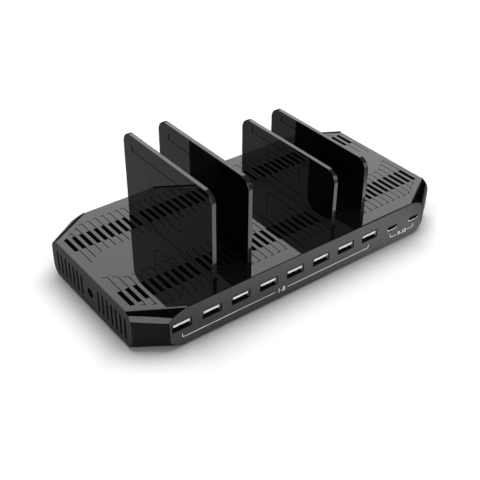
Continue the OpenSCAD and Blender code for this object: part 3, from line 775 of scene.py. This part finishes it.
# %% [markdown]
# ## Studio
# The object stands on a table that is lit from above, as for a product picture: far from the
# object the surface is plain white, and close to it the soft shadow stays. The paper itself is
# pale.
# The white far away is a painted glow, an emission that only the camera sees: it is nothing at the
# object and grows with the distance from it, so the soft shadow round the object is partly real,
# from the lamps, and partly painted shadow, where the glow is missing.

# %% Floor and its paper
FLOOR_HALF = 4
bm = bmesh.new()
bmesh.ops.create_grid(bm, x_segments=1, y_segments=1, size=FLOOR_HALF)
floor = new_piece("studio_floor", bm)
paper, paper_nodes, paper_links = start_finish("studio_paper")
floor.data.materials.append(paper)
sheet = paper_nodes["Principled BSDF"]
sheet.inputs["Roughness"].default_value = 1
sheet.inputs["Specular IOR Level"].default_value = 0
sheet.inputs["Emission Color"].default_value = (1, 1, 1, 1)
print("floor:", tuple(round(v, 1) for v in floor.dimensions), "m")

# %% [markdown]
# Sums on a texture are done with Math nodes. A small helper adds one and joins it up, so the lines
# below read like the sums they stand for, and another one makes a ramp between two distances.

# %% Sums and ramps made of nodes
def worked_out(operation, first, second=0):
    step = paper_nodes.new("ShaderNodeMath")
    step.operation = operation
    for socket, value in zip(step.inputs, (first, second)):
        if isinstance(value, bpy.types.NodeSocket):
            paper_links.new(value, socket)
        else:
            socket.default_value = value
    return step.outputs["Value"]


def ramp(distance, start, end, low, high, kind="LINEAR"):
    rise = paper_nodes.new("ShaderNodeMapRange")
    rise.interpolation_type = kind
    for name, value in zip(("From Min", "From Max", "To Min", "To Max"), (start, end, low, high)):
        rise.inputs[name].default_value = value
    paper_links.new(distance, rise.inputs["Value"])
    return rise.outputs["Result"]


def grey(level):
    return (level, level, level, 1)


print("helpers for sums are ready, nodes so far:", len(paper_nodes))

# %% Where on the floor, and seen by what
floor_place = paper_nodes.new("ShaderNodeTexCoord").outputs["Object"]
floor_xyz = paper_nodes.new("ShaderNodeSeparateXYZ")
paper_links.new(floor_place, floor_xyz.inputs["Vector"])
floor_x, floor_y = floor_xyz.outputs["X"], floor_xyz.outputs["Y"]
floor_ray = paper_nodes.new("ShaderNodeLightPath")
by_camera, by_mirrors = floor_ray.outputs["Is Camera Ray"], floor_ray.outputs["Is Glossy Ray"]
print("nodes in the paper:", len(paper_nodes))

# %% [markdown]
# The distance from the object is the largest of three: past an end, past a side, and past a cut
# corner. The corner's line is x times 0.59 plus y times 0.807, which is the direction that the cut
# corners face. Past an end the distance counts a little more, so the painted shadow there is
# narrower.

# %% The painted glow that the camera sees
GLOW_SPREAD, GLOW_STRENGTH = 0.034, 0.3
END_COUNTS = 1.25
CUT_FACES_X, CUT_FACES_Y, CUT_AWAY = 0.59, 0.807, 0.0966
across = worked_out("ABSOLUTE", floor_x)
along = worked_out("ABSOLUTE", floor_y)
past_end = worked_out("MULTIPLY", worked_out("SUBTRACT", across, cad_box[1][0]), END_COUNTS)
past_side = worked_out("SUBTRACT", along, cad_box[1][1])
slant = worked_out("ADD", worked_out("MULTIPLY", across, CUT_FACES_X),
                   worked_out("MULTIPLY", along, CUT_FACES_Y))
past_cut = worked_out("SUBTRACT", slant, CUT_AWAY)
outside = worked_out("MAXIMUM", worked_out("MAXIMUM", past_end, past_side), past_cut)
# Painted glow: nothing at the object and full past GLOW_SPREAD, which leaves a painted shadow
# round it.
glow = ramp(outside, 0, GLOW_SPREAD, 0, GLOW_STRENGTH, "SMOOTHSTEP")
camera_painted_glow = worked_out("MULTIPLY", by_camera, glow)
print("glow grows over", GLOW_SPREAD, "m from", [round(v, 3) for v in cad_box[1][:2]])

# %% [markdown]
# Polished plastic mirrors the floor. The floor's colour that mirrors see is a painted reflection:
# it is darker than the pale paper, lighter behind the object at the left and in front of it at the
# right, and darker between, graded with a ramp that is turned by 45 degrees.

# %% The floor's painted colour in mirrors
GRADE_TURN, GRADE_REACH = 45, 0.2
GRADE_BACK_LEFT, GRADE_BETWEEN, GRADE_FRONT_RIGHT = (0.25, 0.42), (0.5, 0.19), (0.75, 0.35)
turn = paper_nodes.new("ShaderNodeMapping")
turn.inputs["Rotation"].default_value[2] = math.radians(GRADE_TURN)
paper_links.new(floor_place, turn.inputs["Vector"])
turned_xyz = paper_nodes.new("ShaderNodeSeparateXYZ")
paper_links.new(turn.outputs["Vector"], turned_xyz.inputs["Vector"])
painted_mirror_floor = paper_nodes.new("ShaderNodeValToRGB")
stops = painted_mirror_floor.color_ramp.elements
stops[0].position, stops[0].color = GRADE_BACK_LEFT[0], grey(GRADE_BACK_LEFT[1])
stops[1].position, stops[1].color = GRADE_FRONT_RIGHT[0], grey(GRADE_FRONT_RIGHT[1])
stops.new(GRADE_BETWEEN[0]).color = grey(GRADE_BETWEEN[1])
grade = ramp(turned_xyz.outputs["X"], -GRADE_REACH, GRADE_REACH, 0, 1)
paper_links.new(grade, painted_mirror_floor.inputs["Fac"])
print("stops of the mirrored floor:", [round(stop.position, 2) for stop in stops])

# %% [markdown]
# A second lift is a painted reflection: a patch of floor that glows for mirrors only, in front of
# the object between its cut corners. It makes the front edges of the dividers light, down to where
# they begin to mirror the top plate instead.

# %% The painted glow that mirrors see
FRONT_LIFT, FRONT_SLANT = 1.7, 0.2
LIFT_LEFT, LIFT_RIGHT, LIFT_FRONT = (-0.115, -0.085), (0.11, 0.13), (0.06, 0.095)
forward = worked_out("SUBTRACT", worked_out("MULTIPLY", floor_x, FRONT_SLANT), floor_y)
from_left = ramp(floor_x, *LIFT_LEFT, 0, 1)
to_right = ramp(floor_x, *LIFT_RIGHT, 1, 0)
between = worked_out("MULTIPLY", from_left, to_right)
in_front = worked_out("MULTIPLY", ramp(forward, *LIFT_FRONT, 0, FRONT_LIFT), between)
painted_reflection_lift = worked_out("MULTIPLY", by_mirrors, in_front)
paper_links.new(worked_out("ADD", camera_painted_glow, painted_reflection_lift), sheet.inputs["Emission Strength"])
print("the lift starts and is full this far in front of the middle, in m:", LIFT_FRONT)

# %% Pale for the eye, a painted grade for mirrors
PAPER_PALE = 0.92
pale = paper_nodes.new("ShaderNodeMix")
pale.data_type = "RGBA"
pale.inputs["A"].default_value = grey(PAPER_PALE)
paper_links.new(painted_mirror_floor.outputs["Color"], pale.inputs["B"])
paper_links.new(by_mirrors, pale.inputs["Factor"])
paper_links.new(pale.outputs["Result"], sheet.inputs["Base Color"])
print("nodes in the paper:", len(paper_nodes))

# %% [markdown]
# The room round the table is white for the camera. For mirrors it is nearly black, as in a tent
# with black flags: that is why the polished faces are black wherever no card stands. Its faint
# light on matte faces fills the shadows a little.

# %% Room
ROOM_ON_MATTE, ROOM_IN_MIRRORS = 0.1, 0.01
world = bpy.data.worlds.new("studio_room")
world.use_nodes = True
bpy.context.scene.world = world
room_nodes, room_links = world.node_tree.nodes, world.node_tree.links
room_ray = room_nodes.new("ShaderNodeLightPath")
dim = room_nodes.new("ShaderNodeMix")
dim.data_type = "RGBA"
dim.inputs["A"].default_value = grey(ROOM_ON_MATTE)
dim.inputs["B"].default_value = grey(ROOM_IN_MIRRORS)
room_links.new(room_ray.outputs["Is Glossy Ray"], dim.inputs["Factor"])
room_links.new(dim.outputs["Result"], room_nodes["Background"].inputs["Color"])
white = room_nodes.new("ShaderNodeBackground")
white.inputs["Strength"].default_value = 1
white.inputs["Color"].default_value = (1, 1, 1, 1)
pick = room_nodes.new("ShaderNodeMixShader")
room_links.new(room_ray.outputs["Is Camera Ray"], pick.inputs["Fac"])
room_links.new(room_nodes["Background"].outputs["Background"], pick.inputs[1])
room_links.new(white.outputs["Background"], pick.inputs[2])
room_links.new(pick.outputs["Shader"], room_nodes["World Output"].inputs["Surface"])
print("room nodes:", len(room_nodes))

# %% [markdown]
# ## Cards and lamps
# A photographer lights polished plastic twice: with cards that it mirrors, and with lamps that
# light the matte parts and the table. Here each is an area light, and it is either mirrored or it
# lights, not both. A place is given by the direction from the object, so a card can be put where a
# face mirrors it: the top plate mirrors the card at the back right, its image in the dividers the
# one at the back left, and the rounded corner the one at the front left. The other three hardly
# show in this picture: they stand at the front right, at the left and high at the back, for views
# from behind, the right and above.

# %% Making a card or a lamp
AIM_HEIGHT = 0.03


def area_light(name, azimuth, elevation, distance, width, height, brightness, mirrored):
    around, up = math.radians(azimuth), math.radians(elevation)
    toward = Vector((math.cos(around) * math.cos(up), math.sin(around) * math.cos(up),
                     math.sin(up)))
    lamp_data = bpy.data.lights.new(name, "AREA")
    lamp_data.shape = "RECTANGLE"
    lamp_data.size = width
    lamp_data.size_y = height
    lamp_data.energy = brightness * math.pi * width * height
    lamp = bpy.data.objects.new(name, lamp_data)
    lamp.location = toward * distance + Vector((0, 0, AIM_HEIGHT))
    lamp.rotation_euler = (-toward).to_track_quat("-Z", "Y").to_euler()
    lamp.visible_camera = False
    lamp.visible_glossy = mirrored
    lamp.visible_diffuse = not mirrored
    bpy.context.scene.collection.objects.link(lamp)
    place = tuple(round(v, 2) for v in lamp.location)
    print(name, "at", place, "watts", round(lamp_data.energy, 1))


print("cards and lamps aim at a point", AIM_HEIGHT, "m above the table")

# %% [markdown]
# Each line says in which direction the light stands, in degrees round and up, how far away it is,
# its width and its height in metres, and its brightness.

# %% The cards and the lamps
CARDS = {
    "back_right_card": (52, 36, 1.5, 1.3, 0.75, 2.3),
    "back_left_card": (128, 36, 1.5, 2.0, 1.2, 1.7),
    "front_left_card": (244, 24, 1.4, 1.4, 1.22, 3.1),
    "front_right_card": (317, 18, 1.6, 0.72, 0.8, 2.0),
    "left_card": (180, 22, 1.6, 0.8, 0.6, 1.8),
    "rear_ceiling_card": (90, 74, 1.6, 0.5, 0.5, 1.8),
}
LAMPS = {
    "overhead_lamp": (47, 75, 2.4, 2.2, 2.2, 3.4),
    "low_front_lamp": (256, 4, 1.6, 1.6, 0.2, 13),
    "low_rear_lamp": (55, 4, 1.6, 1.6, 0.2, 10),
}
for name, settings in CARDS.items():
    area_light(name, *settings, mirrored=True)
for name, settings in LAMPS.items():
    area_light(name, *settings, mirrored=False)
print("cards:", len(CARDS), "lamps:", len(LAMPS))

# %% [markdown]
# ## Finish
# Colours are shown as they are written, without a film look.

bpy.context.scene.view_settings.view_transform = "Standard"
